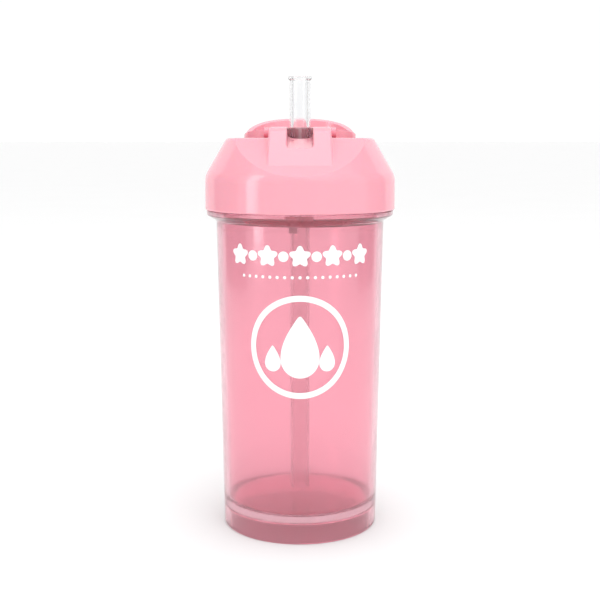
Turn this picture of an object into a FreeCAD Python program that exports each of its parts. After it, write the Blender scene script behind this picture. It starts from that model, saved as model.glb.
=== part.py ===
import FreeCAD, Part
import math
import os

# A toddler's straw cup in millimetres: a clear-tinted cup, a screw lid that carries a soft
# silicone straw, a dip tube and an air valve, and a flip cover that folds the straw flat.
# Z is up from the table, X is to the right and -Y is the front, where the slot opens.
# The origin is the middle of the foot. The model rests with the lid on and the cover open.

Vec = FreeCAD.Vector
up = Vec(0, 0, 1)
right = Vec(1, 0, 0)
origin = Vec(0, 0, 0)

# Cup body
shoulder_height = 125.2      # table to the root of the flange under the lid
body_taper = 2.07            # wall radius lost from the shoulder down to the table
body_wall = 2.2
foot_height = 8.1            # hollow skirt under the floor
floor_thickness = 2.4
foot_skirt = 2.5             # thickness of the skirt at the table
flange_rise = 4.0            # root of the flange to its top face
flange_overhang = 3.84       # flange edge out from the wall below it
flange_edge = 2.2            # shoulder root to the lower rim of the flange's edge
neck_height = 12.8
neck_wall = 2.2
foot_round = 1.0
floor_round = 2.5            # inside, where the wall meets the floor
shoulder_hollow = 3.0        # inside, where the wall steps in to the neck
rim_round = 0.5

# Lid
lid_radius = 38.0            # outside of the skirt
flange_inset = 0.6           # flange edge set back from the skirt
lid_skirt_wall = 2.8
lid_gap = 0.3                # flange to skirt with the lid screwed home
skirt_rise = 13.3            # lid base to the shoulder where the cone starts
dome_rise = 28.2             # lid base to the flat top
dome_slope = 30.3            # cone, degrees from vertical
skirt_draft = 0.1            # radius lost up the skirt
shoulder_round = 8.0
top_round = 2.0
lid_wall = 1.9
seat_width = 3.8             # gasket's bore in to the ring inside the gasket
lid_inner_round = 2.0

# Screw thread, two starts, right handed
thread_lead = 8.0
thread_starts = 2
thread_turns = 0.72
ridge_depth = 1.8
ridge_root = 1.7
ridge_crest = 0.9
thread_gap = 0.4             # ridge tips to the opposite wall
thread_play = 0.35           # between the working flanks
ridge_embed = 0.3            # sunk into the wall it stands on
thread_start_rise = 3.6      # flange top to the start of the neck ridges

# Gasket, and the narrower bore above the thread that holds it
gasket_thickness = 1.9
gasket_gap = 0.15
seat_step = 1.2              # thread bore in to the gasket's bore
seat_depth = 3.2             # height of the gasket's bore
gasket_side_gap = 0.4
gasket_round = 0.4

# Sloping facet at the front of the lid, where the cover's nose lands
facet_start = 14.47          # from the axis to the facet's upper edge
facet_slope = 31.8           # degrees below level
facet_round = 4.0

# Raised block with its two posts, and the slot between them
block_half_top = 11.9
block_half_foot = 12.45
block_rise = 4.2             # above the lid's flat top
block_back_wall = 1.26       # straw's well to the rear of the block
block_front_foot = 31.0      # from the axis to where the block runs out on the facet
block_front_slope = 46.5     # degrees above level
block_front_round = 8.0
block_corner_round = 0.9
block_skin = 1.2             # how far the block is sunk into the dome
slot_side_gap = 0.94         # straw's side to the wall of the slot
slot_corner = 1.1
slot_rim_round = 0.6
block_root_round = 0.8       # hollow where the block meets the dome and the facet
ramp_slope = 11.5            # slot floor, degrees
ramp_top_drop = 0.3          # lid top down to the ramp's upper end

# Straw: one silicone moulding whose upper part folds, with a stiff dip tube under it
straw_axis = -1.8            # Y of the straw
straw_radius = 4.1
straw_wall = 1.15
straw_top_rise = 23.8        # lid top to the straw's mouth
lip_overhang = 0.54
lip_height = 1.3
fold_rise = 0.05             # lid top up to the middle of the fold
fold_gap = 0.3
fold_ahead = 0.5             # straw's front to the line it folds about
fold_drop = 0.4              # middle of the fold down to that line
fold_angle = 100.0           # how far the shut cover presses the straw down
root_flange_out = 0.8        # flange out from the straw's side
root_flange_height = 2.0
well_depth = 7.2             # lid top to the well's floor
web_thickness = 3.0
web_inset = 0.8              # straw's side in to the web's hole
barb_wall = 1.0              # silicone in the web's hole
barb_hook = 0.9              # barb out from the web's hole
barb_height = 2.6
barb_room = 0.4              # round the barb in its chamber
chamber_height = 6.4
stop_height = 1.2
tube_radius = 3.8
tube_wall = 0.9
tube_grip = 13.0             # length of tube held in the socket
tube_clearance = 0.05
socket_wall = 1.6
tube_foot_gap = 4.5          # cup floor to the end of the dip tube

# Air valve: a duckbill of silicone under a small tower
vent_x = -2.7
vent_apart = 2.8             # straw's socket to the valve's axis
vent_tower = 3.2
vent_web = 1.6
vent_web_rise = 2.0          # socket's foot up to the web's lower edge
vent_cap = 1.0               # plastic left above the tower's wide bore, under the ramp
vent_bore = 1.25
vent_hole = 0.5
vent_drop = 1.8              # lid base down to the tower's foot
valve_collar = 2.5
valve_collar_height = 2.5
valve_stem_gap = 0.05
valve_stem_height = 5.0
valve_bill_radius = 1.7
valve_bill_height = 4.0
valve_slit_half = 1.6
valve_slit_thick = 0.5
valve_round = 0.4

# Flip cover, drawn shut
cover_half = 23.3
cover_centre = -12.0         # Y of its widest line
cover_front = 22.6           # widest line to the nose
cover_rear = 16.0
cover_power = 2.5            # roundness of the outline, 2 being an ellipse
cover_draft = 2.0            # degrees
cover_wall = 1.8
cover_gap = 0.4              # above the lid when shut
cover_back_gap = 3.2         # hinge line forward to the roof's rear edge
roof_over_straw = 1.9        # roof's height over the straw's width, at roof_datum
roof_datum = -6.0
roof_slope = 9.0
roof_round = 4.0
cover_swing = 192.0          # degrees from shut to folded back
outline_steps = 12           # points in each half of the outline's formula

# Hinge of the cover
hinge_inset = 0.5            # rear of the block forward to the hinge line
hinge_rise = 2.2             # above the lid's flat top
hinge_boss = 2.0
pin_radius = 1.0
pin_clearance = 0.06
pin_length = 3.0
arm_thickness = 2.0
arm_gap = 0.55               # block's side to the cover's arm
arm_reach = 10.0             # how far forward the arm grips the roof

# Recess behind the block, where the open cover lies upside down
recess_half = 24.0
recess_reach = 3.0           # how far the recess runs in under the rear of the block
recess_room = 2.4            # floor of the recess below the open cover's roof, at its front
recess_slope = 2.6           # floor falls to the rear, degrees
recess_round = 2.5           # front edge of its floor
recess_corner = 2.5          # its upright corners and the sides of its floor
recess_rim_round = 0.8

# Heights and radii that follow from the sizes above
flange_radius = lid_radius - flange_inset
shoulder_radius = flange_radius - flange_overhang
foot_radius = shoulder_radius - body_taper
flange_top = shoulder_height + flange_rise
rim_top = flange_top + neck_height
lid_bore = lid_radius - lid_skirt_wall
neck_crest = lid_bore - thread_gap
neck_radius = neck_crest - ridge_depth
neck_bore = neck_radius - neck_wall
floor_top = foot_height + floor_thickness
lid_base = flange_top + lid_gap
lid_top = lid_base + dome_rise
gasket_base = rim_top + gasket_gap
gasket_seat = gasket_base + gasket_thickness + gasket_gap
seat_radius = lid_bore - seat_step
plug_radius = seat_radius - seat_width
dome_shoulder = lid_radius - skirt_draft
dome_edge = dome_shoulder - (dome_rise - skirt_rise) * math.tan(math.radians(dome_slope))
block_top = lid_top + block_rise
straw_bore = straw_radius - straw_wall
lip_radius = straw_radius + lip_overhang
root_flange = straw_radius + root_flange_out
slot_half = straw_radius + slot_side_gap
fold_forward = straw_radius + fold_ahead
roof_height = 2 * straw_radius + roof_over_straw
recess_drop = roof_height + cover_wall - 2 * hinge_rise + recess_room
web_hole = straw_radius - web_inset
barb_inner = web_hole - barb_wall
barb_radius = web_hole + barb_hook
barb_chamber = barb_radius + barb_room
tube_bore = tube_radius - tube_wall
tube_socket = tube_radius + tube_clearance
valve_stem = vent_bore - valve_stem_gap
vent_y = straw_axis - max(barb_chamber, tube_socket) - socket_wall - vent_apart
well_floor = lid_top - well_depth
web_base = well_floor - web_thickness
chamber_base = web_base - chamber_height
tube_top = chamber_base - stop_height
socket_base = tube_top - tube_grip
tube_foot = floor_top + tube_foot_gap
fold_height = lid_top + fold_rise
hinge_height = lid_top + hinge_rise
arm_inner = block_half_top + arm_gap
tower_base = lid_base - vent_drop
well_radius = slot_half
block_back = straw_axis + well_radius + block_back_wall
hinge_y = block_back - hinge_inset
recess_front = block_back - recess_reach
cover_back = hinge_y - cover_back_gap
far = 200.0                  # beyond every surface, for the cutting tools
crease_angle = 12.0          # faces that meet at more degrees than this form a crease


def unit(vector):
    length = math.hypot(vector[0], vector[1])
    return (vector[0] / length, vector[1] / length)


def rounded_outline(corners, place):
    """Closed wire through corners (a, b, radius), each corner rounded by its radius."""
    starts = []
    middles = []
    ends = []
    for index, (a, b, radius) in enumerate(corners):
        before = corners[index - 1]
        after = corners[(index + 1) % len(corners)]
        arriving = unit((a - before[0], b - before[1]))
        leaving = unit((after[0] - a, after[1] - b))
        cosine = arriving[0] * leaving[0] + arriving[1] * leaving[1]
        turn = math.acos(max(-1.0, min(1.0, cosine)))
        reach = radius * math.tan(turn / 2)
        inward = (leaving[0] - arriving[0], leaving[1] - arriving[1])
        starts.append((a - arriving[0] * reach, b - arriving[1] * reach))
        ends.append((a + leaving[0] * reach, b + leaving[1] * reach))
        if radius > 0:
            inward = unit(inward)
            sag = radius / math.cos(turn / 2) - radius
            middles.append((a + inward[0] * sag, b + inward[1] * sag))
        else:
            middles.append(None)
    edges = []
    for index in range(len(corners)):
        if middles[index] is not None:
            points = [place(*starts[index]), place(*middles[index]), place(*ends[index])]
            edges.append(Part.Arc(*points).toShape())
        start = place(*ends[index])
        end = place(*starts[(index + 1) % len(corners)])
        if start.distanceToPoint(end) > 1e-6:
            edges.append(Part.LineSegment(start, end).toShape())
    return Part.Wire(edges)


def turned(corners, x=0.0, y=0.0):
    """Solid of revolution about a vertical axis from corners (radius, height, rounding)."""
    wire = rounded_outline(corners, lambda r, z: Vec(r, 0, z))
    solid = Part.Face(wire).revolve(origin, up, 360)
    solid.translate(Vec(x, y, 0))
    return solid


def slab(corners, low_x, high_x):
    """Side profile with corners (y, z, rounding), as wide as the two X values say."""
    wire = rounded_outline(corners, lambda y, z: Vec(low_x, y, z))
    return Part.Face(wire).extrude(Vec(high_x - low_x, 0, 0))


def rod(radius, low, high, x=0.0, y=0.0):
    return Part.makeCylinder(radius, high - low, Vec(x, y, low))


def cross_rod(radius, low_x, high_x):
    """Round bar along X on the cover's hinge line."""
    return Part.makeCylinder(radius, high_x - low_x, Vec(low_x, hinge_y, hinge_height), right)


def both_sides(shape):
    return shape.fuse(shape.mirror(origin, right))


def creases(shape, low, high):
    """Edges where two faces meet at an angle, inside the box between two corners."""
    region = FreeCAD.BoundBox(low, high)
    found = []
    for edge in shape.Edges:
        faces = shape.ancestorsOfType(edge, Part.Face)
        if len(faces) < 2 or not region.isInside(edge.BoundBox):
            continue
        middle = edge.valueAt((edge.FirstParameter + edge.LastParameter) / 2)
        normals = [face.normalAt(*face.Surface.parameter(middle)) for face in faces]
        if math.degrees(normals[0].getAngle(normals[1])) > crease_angle:
            found.append(edge)
    return found


def dome_radius(height):
    """Radius of the lid's cone at a height."""
    return dome_edge + (lid_top - height) * math.tan(math.radians(dome_slope))


def facet_height(y):
    return lid_top + (y + facet_start) * math.tan(math.radians(facet_slope))


def ramp_height(y):
    rear = straw_axis - well_radius
    return lid_top - ramp_top_drop + (y - rear) * math.tan(math.radians(ramp_slope))


def roof_inside(y):
    return lid_top + roof_height + (y - roof_datum) * math.tan(math.radians(roof_slope))


def recess_floor(y):
    return lid_top - recess_drop - (y - recess_front) * math.tan(math.radians(recess_slope))


def thread_ridges(root, crest, base_height):
    """The starts of a thread as helical ridges that stand between two radii."""
    outward = 1.0 if crest > root else -1.0
    embedded = root - outward * ridge_embed
    ridges = None
    for start in range(thread_starts):
        helix = Part.makeHelix(thread_lead, thread_lead * thread_turns, root)
        corners = [
            Vec(embedded, 0, -ridge_root / 2),
            Vec(root, 0, -ridge_root / 2),
            Vec(crest, 0, -ridge_crest / 2),
            Vec(crest, 0, ridge_crest / 2),
            Vec(root, 0, ridge_root / 2),
            Vec(embedded, 0, ridge_root / 2),
        ]
        profile = Part.makePolygon(corners + [corners[0]])
        ridge = Part.Wire(helix.Edges).makePipeShell([profile], True, False)
        ridge.translate(Vec(0, 0, base_height))
        ridge.rotate(origin, up, 360.0 / thread_starts * start)
        ridges = ridge if ridges is None else ridges.fuse(ridge)
    return ridges


def make_cup_body():
    wall_at_floor = foot_radius + body_taper * floor_top / shoulder_height
    outside = [
        (foot_radius, 0, foot_round),
        (shoulder_radius, shoulder_height, foot_round),
        (flange_radius - 0.1, shoulder_height + flange_edge, foot_round),
        (flange_radius, flange_top, 0.2),
        (neck_radius, flange_top, rim_round),
        (neck_radius, rim_top, rim_round),
        (neck_bore, rim_top, rim_round),
        (neck_bore, flange_top, shoulder_hollow),
        (shoulder_radius - body_wall, shoulder_height - shoulder_hollow, shoulder_hollow),
        (wall_at_floor - body_wall, floor_top, floor_round),
        (0, floor_top, 0),
        (0, foot_height, 0),
        (foot_radius - foot_skirt, foot_height, foot_round),
        (foot_radius - foot_skirt, 0, 0.3),
    ]
    body = turned(outside)
    ridges = thread_ridges(neck_radius, neck_crest, flange_top + thread_start_rise)
    return body.fuse(ridges).removeSplitter()


def make_rim_gasket():
    inner = plug_radius + gasket_side_gap
    outer = seat_radius - gasket_side_gap
    top = gasket_base + gasket_thickness
    corners = [
        (inner, gasket_base, gasket_round),
        (outer, gasket_base, gasket_round),
        (outer, top, gasket_round),
        (inner, top, gasket_round),
    ]
    return turned(corners)


def lid_dome():
    corners = [
        (0, lid_base, 0),
        (lid_radius, lid_base, 0.5),
        (dome_shoulder, lid_base + skirt_rise, shoulder_round),
        (dome_edge, lid_top, top_round),
        (0, lid_top, 0),
    ]
    return turned(corners)


def above_facet(drop):
    """Everything above a plane that lies below the facet by a wall's thickness."""
    slope = math.radians(facet_slope)
    lower = drop / math.cos(slope)
    edge = -facet_start + lower / math.tan(slope) if drop else -facet_start
    tangent = facet_round * math.tan(slope / 2)
    corners = [
        (edge + tangent, far, 0),
        (edge + tangent, lid_top, 0),
        (edge, lid_top, facet_round),
        (-far, facet_height(-far) - lower, 0),
        (-far, far, 0),
    ]
    return slab(corners, -far, far)


def recess_cutter(grown):
    """Room for the open cover, which runs out of the lid at the rear."""
    front = recess_front - grown
    corners = [
        (front, recess_floor(front) - grown, recess_round + grown),
        (far, recess_floor(far) - grown, 0),
        (far, far, 0),
        (front, far, 0),
    ]
    half = recess_half + grown
    cutter = slab(corners, -half, half)
    uprights = []
    for edge in cutter.Edges:
        box = edge.BoundBox
        if box.YMax < front + 0.1 and box.XLength < 0.1:
            uprights.append(edge)
    return cutter.makeFillet(recess_corner + grown, uprights)


def slot_cutter(half, floor_drop, corner):
    """Rounded channel along the ramp, from the straw's well out through the front."""
    rise = 20.0
    corners = [
        (-half, 0, corner),
        (half, 0, corner),
        (half, rise, 0),
        (-half, rise, 0),
    ]
    start = ramp_height(straw_axis) - floor_drop
    wire = rounded_outline(corners, lambda x, z: Vec(x, straw_axis, start + z))
    fall = ramp_height(straw_axis) - ramp_height(-far)
    return Part.Face(wire).extrude(Vec(0, -far - straw_axis, -fall))


def lid_block():
    """The raised block, tapered a little, with the bosses that hold the cover's pins."""
    slope = math.tan(math.radians(block_front_slope))
    foot = facet_height(-block_front_foot)
    top_front = -block_front_foot + (block_top - foot) / slope
    under = lid_top - block_skin
    under_edge = -facet_start - block_skin
    floor = recess_floor(block_back) - block_skin / 2
    buried_front = -block_front_foot + block_skin
    corners = [
        (-block_front_foot, foot, 0),
        (top_front, block_top, block_front_round),
        (block_back, block_top, block_corner_round),
        (block_back, floor, 0),
        (recess_front - block_skin, floor, 0),
        (recess_front - block_skin, under, 0),
        (under_edge, under, 0),
        (buried_front, facet_height(buried_front) - block_skin, 0),
    ]
    side_view = slab(corners, -block_half_foot - 1.0, block_half_foot + 1.0)
    slant = (block_half_foot - block_half_top) / (block_top - foot)
    low = floor - 5.0
    high = block_top + 5.0
    low_half = block_half_top + slant * (block_top - low)
    high_half = block_half_top + slant * (block_top - high)
    front_view = [
        (-low_half, low, 0),
        (low_half, low, 0),
        (high_half, high, 0),
        (-high_half, high, 0),
    ]
    wire = rounded_outline(front_view, lambda x, z: Vec(x, -far, z))
    block = side_view.common(Part.Face(wire).extrude(Vec(0, 2 * far, 0)))
    top_sides = []
    for edge in block.Edges:
        box = edge.BoundBox
        if box.ZMin > block_top - 0.01 and box.YLength > block_corner_round * 2:
            top_sides.append(edge)
    block = block.makeFillet(block_corner_round, top_sides)
    boss = cross_rod(hinge_boss, slot_half + 1.0, block_half_top)
    return block.fuse(both_sides(boss))


def lid_cavity():
    """The hollow inside the lid, kept a wall's thickness from everything cut from above."""
    ceiling = lid_top - lid_wall
    slant = lid_wall / math.cos(math.radians(dome_slope))
    cone_meets_plug = lid_top - (plug_radius + slant - dome_edge) / math.tan(math.radians(dome_slope))
    mouth = [
        (0, lid_base - 1.0, 0),
        (lid_bore, lid_base - 1.0, 0),
        (lid_bore, gasket_seat - seat_depth, 0.3),
        (seat_radius, gasket_seat - seat_depth + seat_step, 0.3),
        (seat_radius, gasket_seat, 0.2),
        (0, gasket_seat, 0),
    ]
    corners = [
        (0, gasket_seat - 1.0, 0),
        (plug_radius, gasket_seat - 1.0, 0),
        (plug_radius, cone_meets_plug, 0),
        (dome_radius(ceiling) - slant, ceiling, lid_inner_round),
        (0, ceiling, 0),
    ]
    hollow = turned(corners)
    hollow = hollow.cut(above_facet(lid_wall))
    hollow = hollow.cut(recess_cutter(lid_wall))
    hollow = hollow.cut(slot_cutter(slot_half + lid_wall, lid_wall, 0))
    return hollow.fuse(turned(mouth))


def straw_socket():
    """The boss that hangs from the roof and holds the straw's root and the dip tube."""
    outer = barb_chamber + socket_wall
    lower = tube_socket + socket_wall
    corners = [
        (0, socket_base, 0),
        (lower, socket_base, 0.3),
        (lower, chamber_base - 3.0, 1.0),
        (outer, chamber_base - 1.0, 1.0),
        (outer, lid_top - 1.0, 0),
        (0, lid_top - 1.0, 0),
    ]
    return turned(corners, 0, straw_axis)


def socket_bores():
    """Well, web hole, barb chamber, stop and tube socket, one above the other."""
    well = rod(well_radius, well_floor, far, 0, straw_axis)
    hole = rod(web_hole, chamber_base, well_floor + 1.0, 0, straw_axis)
    chamber = rod(barb_chamber, chamber_base, web_base, 0, straw_axis)
    stop = rod(tube_bore, tube_top - 1.0, chamber_base + 1.0, 0, straw_axis)
    socket = rod(tube_socket, socket_base - 1.0, tube_top, 0, straw_axis)
    return well.fuse([hole, chamber, stop, socket])


def vent_tower_solid():
    """The tower that carries the air valve, tied to the straw's boss by a web."""
    top = ramp_height(vent_y) - vent_cap
    foot = socket_base + vent_web_rise
    tower = rod(vent_tower, tower_base, top, vent_x, vent_y)
    length = math.hypot(vent_x, vent_y - straw_axis)
    web = Part.makeBox(vent_web, length, top - foot, Vec(-vent_web / 2, 0, foot))
    angle = math.degrees(math.atan2(vent_y - straw_axis, vent_x)) - 90.0
    web.rotate(origin, up, angle)
    web.translate(Vec(0, straw_axis, 0))
    return tower.fuse(web)


def vent_bores():
    wide = rod(vent_bore, tower_base - 1.0, tower_base + valve_stem_height + 1.0, vent_x, vent_y)
    narrow = rod(vent_hole, tower_base, lid_top, vent_x, vent_y)
    return wide.fuse(narrow)


def lid_outside():
    """Everything of the lid that shows, solid inside, with its edges softened."""
    lid = lid_dome().cut(above_facet(0))
    lid = lid.cut(recess_cutter(0))
    rim = creases(lid, Vec(-far, recess_front - 0.5, lid_base + skirt_rise), Vec(far, far, far))
    lid = lid.makeFillet(recess_rim_round, rim)
    lid = lid.fuse(lid_block()).removeSplitter()
    root = Vec(-block_half_foot - 0.5, -block_front_foot - 0.5, lid_base + skirt_rise)
    roof = Vec(block_half_foot + 0.5, recess_front, lid_top + 0.5)
    lid = lid.makeFillet(block_root_round, creases(lid, root, roof))
    lid = lid.cut(slot_cutter(slot_half, 0, slot_corner))
    lid = lid.cut(rod(well_radius, well_floor, far, 0, straw_axis))
    slot_front = Vec(-slot_half - 0.1, -far, well_floor + 1.0)
    slot_rear = Vec(slot_half + 0.1, straw_axis + well_radius + 0.1, block_top + 1.0)
    mouth = creases(lid, slot_front, slot_rear)
    # Only the rim along the block's top and front is softened, and the ramp stays crisp.
    mouth = [edge for edge in mouth if edge.BoundBox.ZMax > block_top - block_corner_round]
    return lid.makeFillet(slot_rim_round, mouth)


def make_lid_shell():
    lid = lid_outside().cut(lid_cavity())
    lid = lid.fuse([straw_socket(), vent_tower_solid()])
    lid = lid.cut(socket_bores())
    lid = lid.cut(vent_bores())
    pin_hole = cross_rod(pin_radius + pin_clearance, arm_inner - pin_length - 0.3, arm_inner)
    lid = lid.cut(both_sides(pin_hole))
    # The lid's ridges sit under the neck's, with play between the working flanks.
    offset = (ridge_root + ridge_crest) / 2 + thread_play
    start = flange_top + thread_start_rise - offset
    lid = lid.fuse(thread_ridges(lid_bore, neck_radius + thread_gap, start))
    return lid.removeSplitter()


def cover_outline(height, inset):
    """Egg-shaped outline of the cover at a height: a formula, blunter than an ellipse."""
    lean = (height - lid_top) * math.tan(math.radians(cover_draft)) + inset
    points = []
    for step in range(outline_steps + 1):
        turn = math.pi * step / outline_steps
        across = math.copysign(abs(math.cos(turn)) ** (2 / cover_power), math.cos(turn))
        along = math.sin(turn) ** (2 / cover_power)
        points.append((across * (cover_half - lean), along))
    front = [Vec(x, cover_centre - y * (cover_front - lean), height) for x, y in points]
    rear = [Vec(x, cover_centre + y * (cover_rear - lean), height) for x, y in reversed(points)]
    outline = Part.BSplineCurve()
    outline.interpolate(Points=front[:-1] + rear[:-1], PeriodicFlag=True)
    return Part.Wire(outline.toShape())


def cover_block(inset, rounding):
    """Solid block of the cover's shape, inset all round, with its top edge rounded."""
    base = facet_height(cover_centre - cover_front) - 5.0
    top = roof_inside(cover_back) + 8.0
    block = Part.makeLoft([cover_outline(base, inset), cover_outline(top, inset)], True, False)
    lift = cover_wall - inset
    front_y = cover_centre - 2 * cover_front
    rear_y = cover_centre + 2 * cover_rear
    under_roof = [
        (front_y, base - 1.0, 0),
        (rear_y, base - 1.0, 0),
        (rear_y, roof_inside(rear_y) + lift, 0),
        (front_y, roof_inside(front_y) + lift, 0),
    ]
    block = block.common(slab(under_roof, -2 * cover_half, 2 * cover_half))
    roof_edges = [edge for edge in block.Edges if edge.BoundBox.ZMin > lid_top]
    return block.makeFillet(rounding, roof_edges)


def cover_arm():
    """Right-hand arm from the roof down to the hinge, with its pin."""
    reach = hinge_y - arm_reach
    corners = [
        (hinge_y, hinge_height - hinge_boss, 0),
        (hinge_y, roof_inside(hinge_y) + cover_wall / 2, 0),
        (reach, roof_inside(reach) + cover_wall / 2, 0),
        (hinge_y - hinge_boss, hinge_height, 0),
    ]
    arm = slab(corners, arm_inner, arm_inner + arm_thickness)
    arm = arm.cut(Part.makeBox(far, far, far, Vec(0, cover_back, hinge_height + hinge_boss)))
    arm = arm.fuse(cross_rod(hinge_boss, arm_inner, arm_inner + arm_thickness))
    return arm.fuse(cross_rod(pin_radius, arm_inner - pin_length, arm_inner + 0.5))


def shut_flip_cover():
    shell = cover_block(0, roof_round).cut(cover_block(cover_wall, roof_round - cover_wall))
    below = [
        (far, -far, 0),
        (far, lid_top + cover_gap, 0),
        (-facet_start, lid_top + cover_gap, facet_round),
        (-far, facet_height(-far) + cover_gap, 0),
        (-far, -far, 0),
    ]
    shell = shell.cut(slab(below, -far, far))
    shell = shell.cut(Part.makeBox(2 * far, far, 2 * far, Vec(-far, cover_back, -far)))
    # The rear ends of the side wall stop short of the block.
    room = Part.makeBox(2 * arm_inner, arm_inner, far, Vec(-arm_inner, cover_back - arm_inner / 2, 0))
    room.translate(Vec(0, 0, block_top + cover_gap - far))
    shell = shell.cut(room)
    return shell.fuse(both_sides(cover_arm()))


def make_flip_cover():
    cover = shut_flip_cover()
    cover.rotate(Vec(0, hinge_y, hinge_height), right, -cover_swing)
    return cover


def make_straw_root():
    """Lower part of the silicone straw, pushed through the web and held by its barb."""
    top = fold_height - fold_gap / 2
    corners = [
        (barb_inner, web_base - barb_height, 0),
        (web_hole, web_base - barb_height, 0.3),
        (barb_radius, web_base - 0.3, 0.2),
        (web_hole, web_base, 0),
        (web_hole, well_floor, 0),
        (root_flange, well_floor, 0),
        (root_flange, well_floor + root_flange_height, 0.5),
        (straw_radius, well_floor + root_flange_height, 0.5),
        (straw_radius, top, 0),
        (straw_bore, top, 0),
        (straw_bore, well_floor, 0),
        (barb_inner, well_floor - 1.0, 0),
    ]
    return turned(corners, 0, straw_axis)


def make_straw_spout():
    """Upper part of the silicone straw, with the lip round its mouth."""
    base = fold_height + fold_gap / 2
    mouth = lid_top + straw_top_rise
    corners = [
        (straw_bore, base, 0),
        (straw_radius, base, 0),
        (straw_radius, mouth - lip_height, 0),
        (lip_radius, mouth - lip_height + 0.3, 0.2),
        (lip_radius - 0.2, mouth, 0.4),
        (straw_bore, mouth, 0.3),
    ]
    return turned(corners, 0, straw_axis)


def make_straw_tube():
    corners = [
        (tube_bore, tube_foot, 0.2),
        (tube_radius, tube_foot, 0.2),
        (tube_radius, tube_top, 0.2),
        (tube_bore, tube_top, 0.2),
    ]
    return turned(corners, 0, straw_axis)


def make_vent_valve():
    """Silicone duckbill: a stem up the tower, a collar, and a bill that ends in a slit."""
    stem = rod(valve_stem, tower_base - 0.5, tower_base + valve_stem_height)
    collar_base = tower_base - valve_collar_height
    collar = turned([
        (0, collar_base, 0),
        (valve_collar, collar_base, valve_round),
        (valve_collar, tower_base, valve_round),
        (0, tower_base, 0),
    ])
    round_end = Part.Wire(Part.makeCircle(valve_bill_radius, Vec(0, 0, collar_base + 0.2)))
    tip_height = collar_base - valve_bill_height
    tip = [
        (-valve_slit_half, -valve_slit_thick, valve_round),
        (valve_slit_half, -valve_slit_thick, valve_round),
        (valve_slit_half, valve_slit_thick, valve_round),
        (-valve_slit_half, valve_slit_thick, valve_round),
    ]
    tip_end = rounded_outline(tip, lambda x, y: Vec(x, y, tip_height))
    bill = Part.makeLoft([round_end, tip_end], True, True)
    valve = stem.fuse([collar, bill])
    valve.translate(Vec(vent_x, vent_y, 0))
    return valve


pieces = {
    "cup_body": make_cup_body,
    "rim_gasket": make_rim_gasket,
    "lid_shell": make_lid_shell,
    "flip_cover": make_flip_cover,
    "straw_root": make_straw_root,
    "straw_spout": make_straw_spout,
    "straw_tube": make_straw_tube,
    "vent_valve": make_vent_valve,
}

os.makedirs("parts", exist_ok=True)
for name, make in pieces.items():
    shape = make()
    if shape.ShapeType == "Compound" and len(shape.Solids) == 1:
        shape = shape.Solids[0]
    shape.exportStep("parts/" + name + ".step")
    box = shape.BoundBox
    print(name, "solids", len(shape.Solids), "valid", shape.isValid(), "volume", round(shape.Volume),
          "z", round(box.ZMin, 2), round(box.ZMax, 2), "y", round(box.YMin, 2), round(box.YMax, 2))
print("cover turns about y", round(hinge_y, 3), "z", hinge_height, "through", cover_swing, "degrees")
fold_y = straw_axis - fold_forward
print("straw folds about y", round(fold_y, 3), "z", round(fold_height - fold_drop, 3), "through", fold_angle, "degrees")
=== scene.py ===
import math

import bmesh
import bpy
from mathutils import Matrix, Vector


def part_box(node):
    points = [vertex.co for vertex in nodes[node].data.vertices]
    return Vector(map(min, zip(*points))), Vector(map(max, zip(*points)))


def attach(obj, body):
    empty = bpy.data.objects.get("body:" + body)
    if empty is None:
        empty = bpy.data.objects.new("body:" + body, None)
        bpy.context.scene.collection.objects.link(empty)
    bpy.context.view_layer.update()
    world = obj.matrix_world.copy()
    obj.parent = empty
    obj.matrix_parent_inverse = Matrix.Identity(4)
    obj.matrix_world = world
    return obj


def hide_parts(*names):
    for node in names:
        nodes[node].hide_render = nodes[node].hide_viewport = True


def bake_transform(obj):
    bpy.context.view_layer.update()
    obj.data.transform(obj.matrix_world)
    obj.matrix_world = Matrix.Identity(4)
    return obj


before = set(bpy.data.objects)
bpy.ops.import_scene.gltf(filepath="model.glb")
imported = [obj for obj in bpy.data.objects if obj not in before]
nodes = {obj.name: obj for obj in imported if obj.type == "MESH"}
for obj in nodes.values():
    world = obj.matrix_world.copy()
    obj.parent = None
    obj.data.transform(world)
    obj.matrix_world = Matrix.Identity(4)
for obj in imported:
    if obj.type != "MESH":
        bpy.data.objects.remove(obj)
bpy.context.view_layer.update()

# A toddler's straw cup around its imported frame: the cup, lid, cover, seal and tube keep their
# own shapes and get their finishes here, and the soft straw and the print are new.

mm = 0.001
mergeDistance = 1e-6
scene = bpy.context.scene


def srgbToLinear(code):
    channels = [int(code[place:place + 2], 16) / 255 for place in (1, 3, 5)]
    linear = [c / 12.92 if c <= 0.04045 else ((c + 0.055) / 1.055) ** 2.4 for c in channels]
    return (*linear, 1.0)


def addNode(tree, kind, settings=None, links=None):
    # settings are properties or socket values, links are sockets that feed the named inputs
    node = tree.nodes.new(kind)
    for name, value in (settings or {}).items():
        if name in node.inputs:
            node.inputs[name].default_value = value
        else:
            setattr(node, name, value)
    for name, socket in (links or {}).items():
        tree.links.new(socket, node.inputs[name])
    return node


def startMaterial(name):
    material = bpy.data.materials.new(name)
    material.use_nodes = True
    tree = material.node_tree
    tree.nodes.clear()
    place = addNode(tree, "ShaderNodeTexCoord").outputs["Object"]
    return material, tree, place


def mixColours(tree, factor, first, second):
    mix = addNode(tree, "ShaderNodeMix", {"data_type": "RGBA"})
    tree.links.new(factor, mix.inputs[0])
    mix.inputs[6].default_value = srgbToLinear(first)
    mix.inputs[7].default_value = srgbToLinear(second)
    return mix.outputs[2]


def noiseAt(tree, place, sizeMm, detail=2.0, roughness=0.5):
    settings = {"Scale": 1 / (sizeMm * mm), "Detail": detail, "Roughness": roughness}
    return addNode(tree, "ShaderNodeTexNoise", settings, {"Vector": place}).outputs["Fac"]


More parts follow.
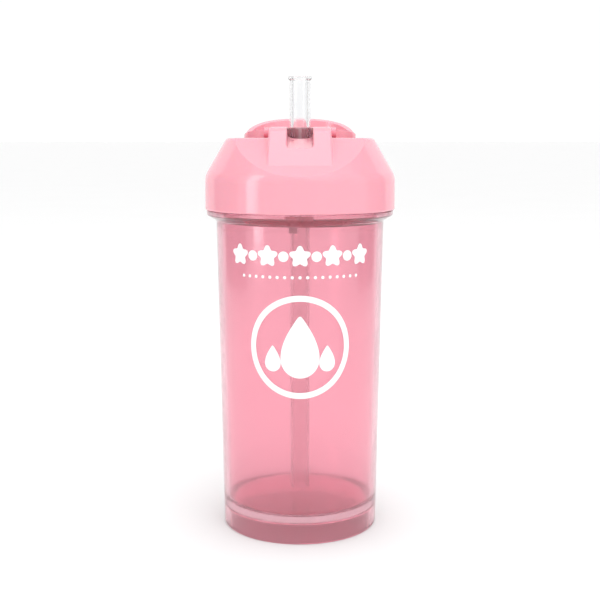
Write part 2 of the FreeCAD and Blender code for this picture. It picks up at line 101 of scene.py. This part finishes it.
def spread(tree, value, low, high):
    settings = {"From Min": 0.3, "From Max": 0.7, "To Min": low, "To Max": high}
    return addNode(tree, "ShaderNodeMapRange", settings, {"Value": value}).outputs["Result"]


def bumpFrom(tree, height, depthMm, links=None):
    bump = addNode(tree, "ShaderNodeBump", {"Distance": depthMm * mm, "Strength": 1.0},
                   {"Height": height, **(links or {})})
    return bump.outputs["Normal"]


def finishMaterial(tree, shader):
    addNode(tree, "ShaderNodeOutputMaterial", None, {"Surface": shader.outputs["BSDF"]})


def dress(piece, material):
    piece.data.materials.clear()
    piece.data.materials.append(material)


def meshPiece(name, bm, material, body, smooth=True):
    bmesh.ops.recalc_face_normals(bm, faces=bm.faces)
    mesh = bpy.data.meshes.new(name)
    bm.to_mesh(mesh)
    bm.free()
    for face in mesh.polygons:
        face.use_smooth = smooth
    piece = bpy.data.objects.new(name, mesh)
    scene.collection.objects.link(piece)
    dress(piece, material)
    if body:
        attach(piece, body)
    return piece


lidFinish = {
    "pink": "#f5a9b7",
    "deepPink": "#f2a4b2",
    "flowSizeMm": 22.0,        # slow change of shade where the melt flowed
    "peelSizeMm": 1.4,         # faint unevenness left by the mould, drawn coarse enough to show
    "peelDepthMm": 0.006,
    "edgeRadiusMm": 0.45,      # every moulded edge is a little round
    "edgeSamples": 6,
    "roughness": (0.1, 0.15),
    "refraction": 1.49,
    "glowShare": 0.12,         # how much light goes in, and how far
    "glowReachMm": 1.5,
}


def mouldedPolypropylene():
    # polypropylene from a polished mould: opaque, soft gloss, light goes a little way in
    material, tree, place = startMaterial("mouldedPolypropylene")
    flow = noiseAt(tree, place, lidFinish["flowSizeMm"])
    colour = mixColours(tree, flow, lidFinish["pink"], lidFinish["deepPink"])
    peel = noiseAt(tree, place, lidFinish["peelSizeMm"], 3.0)
    rounded = addNode(tree, "ShaderNodeBevel", {"Radius": lidFinish["edgeRadiusMm"] * mm,
                                                "samples": lidFinish["edgeSamples"]})
    bump = bumpFrom(tree, peel, lidFinish["peelDepthMm"], {"Normal": rounded.outputs["Normal"]})
    low, high = lidFinish["roughness"]
    shader = addNode(tree, "ShaderNodeBsdfPrincipled",
                     {"IOR": lidFinish["refraction"], "Subsurface Weight": lidFinish["glowShare"],
                      "Subsurface Scale": lidFinish["glowReachMm"] * mm},
                     {"Base Color": colour, "Normal": bump,
                      "Roughness": spread(tree, peel, low, high)})
    finishMaterial(tree, shader)
    return material


cupFinish = {
    "pink": "#ffcdd8",
    "deepPink": "#ffc9d5",
    "flowSizeMm": 30.0,
    "waveSizeMm": 9.0,         # long ripple of a moulded clear wall
    "waveDepthMm": 0.012,
    "roughness": (0.08, 0.13),
    "refraction": 1.5,
    "clarity": 0.92,           # the rest of the light is scattered by the dye
}


def tintedCopolyester():
    # clear copolyester with a pink dye: sees through, a little haze, soft outer gloss
    material, tree, place = startMaterial("tintedCopolyester")
    flow = noiseAt(tree, place, cupFinish["flowSizeMm"])
    colour = mixColours(tree, flow, cupFinish["pink"], cupFinish["deepPink"])
    wave = noiseAt(tree, place, cupFinish["waveSizeMm"], 1.0)
    bump = bumpFrom(tree, wave, cupFinish["waveDepthMm"])
    low, high = cupFinish["roughness"]
    shader = addNode(tree, "ShaderNodeBsdfPrincipled",
                     {"IOR": cupFinish["refraction"], "Transmission Weight": cupFinish["clarity"]},
                     {"Base Color": colour, "Normal": bump,
                      "Roughness": spread(tree, flow, low, high)})
    finishMaterial(tree, shader)
    return material


siliconeFinish = {
    "clear": ("#ffffff", "#fafbfc"),
    "milky": ("#f6f1f3", "#ece8ea"),
    "cloudSizeMm": 4.0,
    "skinSizeMm": 0.9,         # matt skin of cured silicone, drawn coarse enough to show
    "skinDepthMm": 0.01,
    "refraction": 1.41,
    "roughnessSpread": 0.08,
}


def curedSilicone(name, shades, transmission, roughness):
    # liquid silicone rubber: soft sheen, slight cloudiness, never as crisp as glass
    material, tree, place = startMaterial(name)
    cloud = noiseAt(tree, place, siliconeFinish["cloudSizeMm"])
    colour = mixColours(tree, cloud, *shades)
    skin = noiseAt(tree, place, siliconeFinish["skinSizeMm"], 2.0)
    bump = bumpFrom(tree, skin, siliconeFinish["skinDepthMm"])
    rougher = roughness + siliconeFinish["roughnessSpread"]
    shader = addNode(tree, "ShaderNodeBsdfPrincipled",
                     {"IOR": siliconeFinish["refraction"], "Transmission Weight": transmission},
                     {"Base Color": colour, "Normal": bump,
                      "Roughness": spread(tree, cloud, roughness, rougher)})
    finishMaterial(tree, shader)
    return material


tubeFinish = {
    "clear": "#fffbfc",
    "drawn": "#fff5f7",
    "lineSizeMm": 0.6,
    "lineDepthMm": 0.008,
    "lineStretch": (1, 1, 0.02),
    "refraction": 1.49,
    "clarity": 0.92,
    "roughness": (0.1, 0.2),
}


def extrudedPolypropylene():
    # thin extruded tube: clear with a faint haze and fine lines along its length
    material, tree, place = startMaterial("extrudedPolypropylene")
    stretched = addNode(tree, "ShaderNodeMapping", {"Scale": tubeFinish["lineStretch"]}, {"Vector": place})
    lines = noiseAt(tree, stretched.outputs["Vector"], tubeFinish["lineSizeMm"])
    colour = mixColours(tree, lines, tubeFinish["clear"], tubeFinish["drawn"])
    bump = bumpFrom(tree, lines, tubeFinish["lineDepthMm"])
    shader = addNode(tree, "ShaderNodeBsdfPrincipled",
                     {"IOR": tubeFinish["refraction"], "Transmission Weight": tubeFinish["clarity"]},
                     {"Base Color": colour, "Normal": bump,
                      "Roughness": spread(tree, lines, *tubeFinish["roughness"])})
    finishMaterial(tree, shader)
    return material


inkFinish = {
    "white": "#ffffff",
    "thin": "#fbf6f7",
    "meshSizeMm": 0.35,
    "meshDepthMm": 0.004,
    "coatSizeMm": 5.0,
    "refraction": 1.5,
    "roughness": (0.35, 0.45),
}


def screenPrintedInk():
    # thick white ink pushed through a woven screen: dead white, satin, a trace of the weave
    material, tree, place = startMaterial("screenPrintedInk")
    coat = noiseAt(tree, place, inkFinish["coatSizeMm"])
    colour = mixColours(tree, coat, inkFinish["white"], inkFinish["thin"])
    weave = noiseAt(tree, place, inkFinish["meshSizeMm"], 1.0)
    bump = bumpFrom(tree, weave, inkFinish["meshDepthMm"])
    shader = addNode(tree, "ShaderNodeBsdfPrincipled", {"IOR": inkFinish["refraction"]},
                     {"Base Color": colour, "Normal": bump,
                      "Roughness": spread(tree, coat, *inkFinish["roughness"])})
    finishMaterial(tree, shader)
    return material


boards = {
    # name: two shades, size of the unevenness in mm, gloss, roughness
    "studioSweep": (("#fbfbfb", "#f8f8f8"), 180.0, 0.2, (0.7, 0.8)),
    "greyCardboard": (("#777777", "#6e6e6e"), 12.0, 0.1, (0.8, 0.9)),
}


def mattBoard(name):
    # matt painted board or card of the studio, nearly without gloss
    shades, sizeMm, gloss, roughness = boards[name]
    material, tree, place = startMaterial(name)
    patch = noiseAt(tree, place, sizeMm)
    colour = mixColours(tree, patch, *shades)
    shader = addNode(tree, "ShaderNodeBsdfPrincipled", {"Specular IOR Level": gloss},
                     {"Base Color": colour, "Roughness": spread(tree, patch, *roughness)})
    finishMaterial(tree, shader)
    return material


lidPlastic = mouldedPolypropylene()
cupPlastic = tintedCopolyester()
strawSilicone = curedSilicone("clearSilicone", siliconeFinish["clear"], transmission=0.98, roughness=0.04)
sealSilicone = curedSilicone("milkySilicone", siliconeFinish["milky"], transmission=0.7, roughness=0.3)
tubePlastic = extrudedPolypropylene()
ink = screenPrintedInk()
finishes = {
    "cup_body": cupPlastic,
    "lid_shell": lidPlastic,
    "flip_cover": lidPlastic,
    "rim_gasket": sealSilicone,
    "vent_valve": sealSilicone,
    "straw_tube": tubePlastic,
}
for nodeName, material in finishes.items():
    dress(nodes[nodeName], material)
print("materials made")


# the soft straw, one straight moulding in place of the frame's two halves, which meet where the real straw
# bends

strawSizes = {
    "radius": 4.1,
    "bore": 2.95,
    "lipRadius": 4.64,
    "lipHeight": 1.3,
    "flangeRadius": 4.9,
    "flangeHeight": 2.0,
    "barbRadius": 4.2,
    "barbHeight": 5.6,         # lower end to the underside of the flange
    "barbWidest": 2.3,         # lower end to the barb's widest line
    "barbStep": 0.3,           # from there up to the waist
    "boreInset": 0.65,         # how much narrower the bore is below the flange
    "boreFunnel": 1.0,         # height over which it narrows
    "lipRise": 0.3,
    "lipDraft": 0.15,
    "waist": 3.3,
    "segments": 64,
    "rings": 60,               # along the part that bends
    "bendBelow": 2.6,          # the bend starts this far under the frame's split
    "bendAbove": 2.4,
    "longSide": 10.0,          # a side longer than this is cut into the rings
    "creaseDegrees": 25.0,
    "edgeRound": 0.16,
    "edgeSteps": 3,
}


def buildStraw():
    sizes = {name: value * mm for name, value in strawSizes.items()}
    low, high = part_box("straw_root"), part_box("straw_spout")
    foot, mouth = low[0].z, high[1].z
    axisY = (high[0].y + high[1].y) / 2
    flangeBase = foot + sizes["barbHeight"]
    flangeTop = flangeBase + sizes["flangeHeight"]
    lipBase = mouth - sizes["lipHeight"]
    barb = foot + sizes["barbWidest"]
    narrowBore = sizes["bore"] - sizes["boreInset"]
    corners = [
        (sizes["waist"], foot),
        (sizes["barbRadius"], barb),
        (sizes["waist"], barb + sizes["barbStep"]),
        (sizes["waist"], flangeBase),
        (sizes["flangeRadius"], flangeBase),
        (sizes["flangeRadius"], flangeTop),
        (sizes["radius"], flangeTop),
        (sizes["radius"], lipBase),
        (sizes["lipRadius"], lipBase + sizes["lipRise"]),
        (sizes["lipRadius"] - sizes["lipDraft"], mouth),
        (sizes["bore"], mouth),
        (sizes["bore"], flangeBase),
        (narrowBore, flangeBase - sizes["boreFunnel"]),
        (narrowBore, foot),
    ]
    bm = bmesh.new()
    ring = [bm.verts.new((r, axisY, z)) for r, z in corners]
    edges = [bm.edges.new((ring[i - 1], ring[i])) for i in range(len(ring))]
    long = [e for e in edges if abs(e.verts[0].co.z - e.verts[1].co.z) > sizes["longSide"]]
    bmesh.ops.subdivide_edges(bm, edges=long, cuts=strawSizes["rings"])
    bmesh.ops.spin(bm, geom=bm.verts[:] + bm.edges[:], cent=(0, axisY, 0), axis=(0, 0, 1),
                   angle=2 * math.pi, steps=strawSizes["segments"], use_merge=True)
    bmesh.ops.remove_doubles(bm, verts=bm.verts, dist=mergeDistance)
    bmesh.ops.recalc_face_normals(bm, faces=bm.faces)
    crease = math.radians(strawSizes["creaseDegrees"])
    sharp = [e for e in bm.edges if e.is_manifold and e.calc_face_angle(0) > crease]
    bmesh.ops.bevel(bm, geom=sharp, offset=sizes["edgeRound"], segments=strawSizes["edgeSteps"],
                    profile=0.5, material=-1, affect="EDGES", clamp_overlap=True)
    piece = meshPiece("siliconeStraw", bm, strawSilicone, None)
    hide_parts("straw_root", "straw_spout")
    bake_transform(piece)


buildStraw()
print("straw made")


# white print wrapped on the cup's wall

wall = {
    "footRadius": 31.49,
    "shoulderRadius": 33.56,
    "shoulderHeight": 125.2,
}
printSizes = {
    "lift": 0.02,              # clear of the wall, so that the two skins don't share a surface
    "thickness": 0.05,
    "ringHeight": 79.0,        # middle of the ring over the table
    "ringRadius": 20.0,
    "ringStroke": 2.3,
    "dropHeight": 24.0,
    "dropWidth": 15.0,
    "dropWaist": 0.62,         # how much its shoulders draw in
    "smallDropAside": 10.6,    # the two small drops stand this far out and down
    "smallDropDown": 4.5,
    "smallDropShare": 0.42,
    "rowHeight": 113.7,
    "rowPitch": 6.3,
    "rowCount": 9,
    "flowerRadius": 4.2,
    "dotRadius": 2.0,
    "beadHeight": 105.8,
    "beadPitch": 2.9,
    "beadCount": 17,
    "beadRadius": 0.62,
    "stripWidth": 1.5,         # the drawing is cut into strips this narrow to follow the wall
    "petals": 5,
    "petalDepth": 0.34,
    "ringSegments": 128,
    "dropSegments": 96,
    "flowerSegments": 80,
    "dotSegments": 40,
    "beadSegments": 20,
}


def wallRadius(height):
    share = height / (wall["shoulderHeight"] * mm)
    return (wall["footRadius"] + (wall["shoulderRadius"] - wall["footRadius"]) * share) * mm


def wrapOnWall(bm, lift):
    # a flat drawing in X and Z is rolled round the cup, arc for width
    for vert in bm.verts:
        radius = wallRadius(vert.co.z) + lift + vert.co.y
        angle = vert.co.x / radius
        vert.co = (radius * math.sin(angle), -radius * math.cos(angle), vert.co.z)


def flatDisc(bm, x, z, radius, segments, petals=0, depth=0.0):
    # depth is the share of the radius by which the outline dips between petals
    turn = Matrix.Translation((x, 0, z)) @ Matrix.Rotation(math.radians(90), 4, "X")
    made = bmesh.ops.create_circle(bm, cap_ends=True, radius=radius, segments=segments, matrix=turn)
    middle = Vector((x, 0, z))
    for vert in made["verts"]:
        arm = vert.co - middle
        angle = math.atan2(arm.x, arm.z)
        vert.co = middle + arm * (1 + depth * (math.cos(petals * angle) - 1) / 2)
    return made["verts"]


def printPiece(name, bm):
    # cut into narrow strips so that it follows the curve, then given the ink's thickness
    reach = max(abs(v.co.x) for v in bm.verts)
    steps = int(reach * 2 / (printSizes["stripWidth"] * mm))
    for step in range(1, steps):
        x = -reach + 2 * reach * step / steps
        bmesh.ops.bisect_plane(bm, geom=bm.verts[:] + bm.edges[:] + bm.faces[:], dist=1e-7,
                               plane_co=(x, 0, 0), plane_no=(1, 0, 0))
    bmesh.ops.remove_doubles(bm, verts=bm.verts, dist=mergeDistance)
    front = bmesh.ops.extrude_face_region(bm, geom=bm.faces[:])
    moved = [v for v in front["geom"] if isinstance(v, bmesh.types.BMVert)]
    bmesh.ops.translate(bm, verts=moved, vec=(0, printSizes["thickness"] * mm, 0))
    wrapOnWall(bm, printSizes["lift"] * mm)
    meshPiece(name, bm, ink, "cup", smooth=False)


def printRing():
    bm = bmesh.new()
    outer, stroke = printSizes["ringRadius"] * mm, printSizes["ringStroke"] * mm
    disc = flatDisc(bm, 0, printSizes["ringHeight"] * mm, outer, printSizes["ringSegments"])
    face = disc[0].link_faces[0]
    bmesh.ops.inset_region(bm, faces=[face], thickness=stroke, use_boundary=True,
                           use_even_offset=True)
    # the band is made of quads, and the face left inside it has all the corners
    inner = [f for f in bm.faces if len(f.verts) > 4]
    bmesh.ops.delete(bm, geom=inner, context="FACES_ONLY")
    printPiece("printedRing", bm)


def drawDrop(bm, x, middle, share):
    # a circle whose top half is drawn up to a point
    half = printSizes["dropWidth"] * share * mm / 2
    tall = printSizes["dropHeight"] * share * mm
    base = middle - tall / 2 + half
    for vert in flatDisc(bm, x, base, half, printSizes["dropSegments"]):
        up = (vert.co.z - base) / half
        if up > 0:
            vert.co.z = base + (tall - half) * up
            vert.co.x = x + (vert.co.x - x) * (1 - printSizes["dropWaist"] * up ** 2)


def printDrops():
    bm = bmesh.new()
    middle = printSizes["ringHeight"] * mm
    drawDrop(bm, 0, middle, 1.0)
    for side in (-1, 1):
        drawDrop(bm, side * printSizes["smallDropAside"] * mm,
                 middle - printSizes["smallDropDown"] * mm, printSizes["smallDropShare"])
    printPiece("printedDrops", bm)


def spacedX(count, pitch):
    return [(index - (count - 1) / 2) * pitch * mm for index in range(count)]


def printRow():
    bm = bmesh.new()
    z = printSizes["rowHeight"] * mm
    for index, x in enumerate(spacedX(printSizes["rowCount"], printSizes["rowPitch"])):
        if index % 2:
            flatDisc(bm, x, z, printSizes["dotRadius"] * mm, printSizes["dotSegments"])
        else:
            flatDisc(bm, x, z, printSizes["flowerRadius"] * mm, printSizes["flowerSegments"],
                     printSizes["petals"], printSizes["petalDepth"])
    printPiece("printedRow", bm)


def printBeads():
    bm = bmesh.new()
    z = printSizes["beadHeight"] * mm
    for x in spacedX(printSizes["beadCount"], printSizes["beadPitch"]):
        flatDisc(bm, x, z, printSizes["beadRadius"] * mm, printSizes["beadSegments"])
    printPiece("printedBeads", bm)


for makePrint in (printRing, printDrops, printRow, printBeads):
    makePrint()
print("print made")


studio = {
    "floorSize": 80.0,
    "skyStrength": 1.02,
    "lens": 63.73,             # on the default 36 mm sensor
    "eye": (0.0, -0.4283, 0.15766),
    "lookDown": 8.675,         # degrees below level
    "aimHeight": 0.12,         # the lamps face this height on the axis
    "clearBounces": 24,        # enough for clear walls behind clear walls
    "otherBounces": 16,
}
softboxes = {
    # name: place, size across and up, power in watts, and whether it lights matt surfaces too
    "leftStrip": ((-0.70, -0.42, 0.25), (0.17, 1.10), 2.4, False),
    "leftSliver": ((-0.62, -0.50, 0.25), (0.03, 1.10), 0.4, False),
    "frontBox": ((0.45, -0.95, 1.00), (0.90, 0.90), 2.0, True),
    "topBox": ((0.05, -0.15, 1.20), (0.80, 0.80), 3.2, True),
}
greyCards = {
    # name: middle of the card and its half sizes; they give clear edges something to bend
    "leftCard": ((-0.62, 0.12, 0.35), (0.26, 0.45)),
    "rightCard": ((0.62, 0.16, 0.35), (0.22, 0.45)),
}


def buildFloor():
    bm = bmesh.new()
    bmesh.ops.create_grid(bm, x_segments=4, y_segments=4, size=studio["floorSize"] / 2)
    floor = meshPiece("floorSweep", bm, mattBoard("studioSweep"), None)


def addCard(name, place, halves, material):
    bm = bmesh.new()
    bmesh.ops.create_grid(bm, x_segments=2, y_segments=2, size=1.0)
    bmesh.ops.scale(bm, verts=bm.verts, vec=(halves[0], halves[1], 1))
    stand = Matrix.Rotation(math.radians(90), 4, "Z") @ Matrix.Rotation(math.radians(90), 4, "X")
    bmesh.ops.transform(bm, verts=bm.verts, matrix=Matrix.Translation(place) @ stand)
    card = meshPiece(name, bm, material, None)
    card.visible_camera = card.visible_diffuse = card.visible_shadow = False


def addSoftbox(name, place, size, power, lightsMatt):
    light = bpy.data.lights.new(name, "AREA")
    light.shape = "RECTANGLE"
    light.size, light.size_y = size
    light.energy = power
    lamp = bpy.data.objects.new(name, light)
    lamp.location = place
    aim = Vector((0, 0, studio["aimHeight"])) - Vector(place)
    lamp.rotation_euler = aim.to_track_quat("-Z", "Y").to_euler()
    lamp.visible_camera = False
    lamp.visible_diffuse = lightsMatt
    scene.collection.objects.link(lamp)


def lightWorld():
    world = bpy.data.worlds.new("studioAir")
    world.use_nodes = True
    tree = world.node_tree
    tree.nodes.clear()
    sky = addNode(tree, "ShaderNodeBackground",
                  {"Color": (1, 1, 1, 1), "Strength": studio["skyStrength"]})
    addNode(tree, "ShaderNodeOutputWorld", None, {"Surface": sky.outputs["Background"]})
    scene.world = world


def placeCamera():
    lens = bpy.data.cameras.new("studioCamera")
    lens.lens = studio["lens"]
    lens.clip_start = 0.01
    camera = bpy.data.objects.new("studioCamera", lens)
    camera.location = studio["eye"]
    camera.rotation_euler = (math.radians(90 - studio["lookDown"]), 0, 0)
    scene.collection.objects.link(camera)
    scene.camera = camera


buildFloor()
for name, settings in softboxes.items():
    addSoftbox(name, *settings)
card = mattBoard("greyCardboard")
for name, (place, halves) in greyCards.items():
    addCard(name, place, halves, card)
lightWorld()
placeCamera()
scene.view_settings.view_transform = "Standard"
scene.cycles.max_bounces = scene.cycles.transmission_bounces = studio["clearBounces"]
scene.cycles.glossy_bounces = scene.cycles.diffuse_bounces = studio["otherBounces"]
print("studio made")
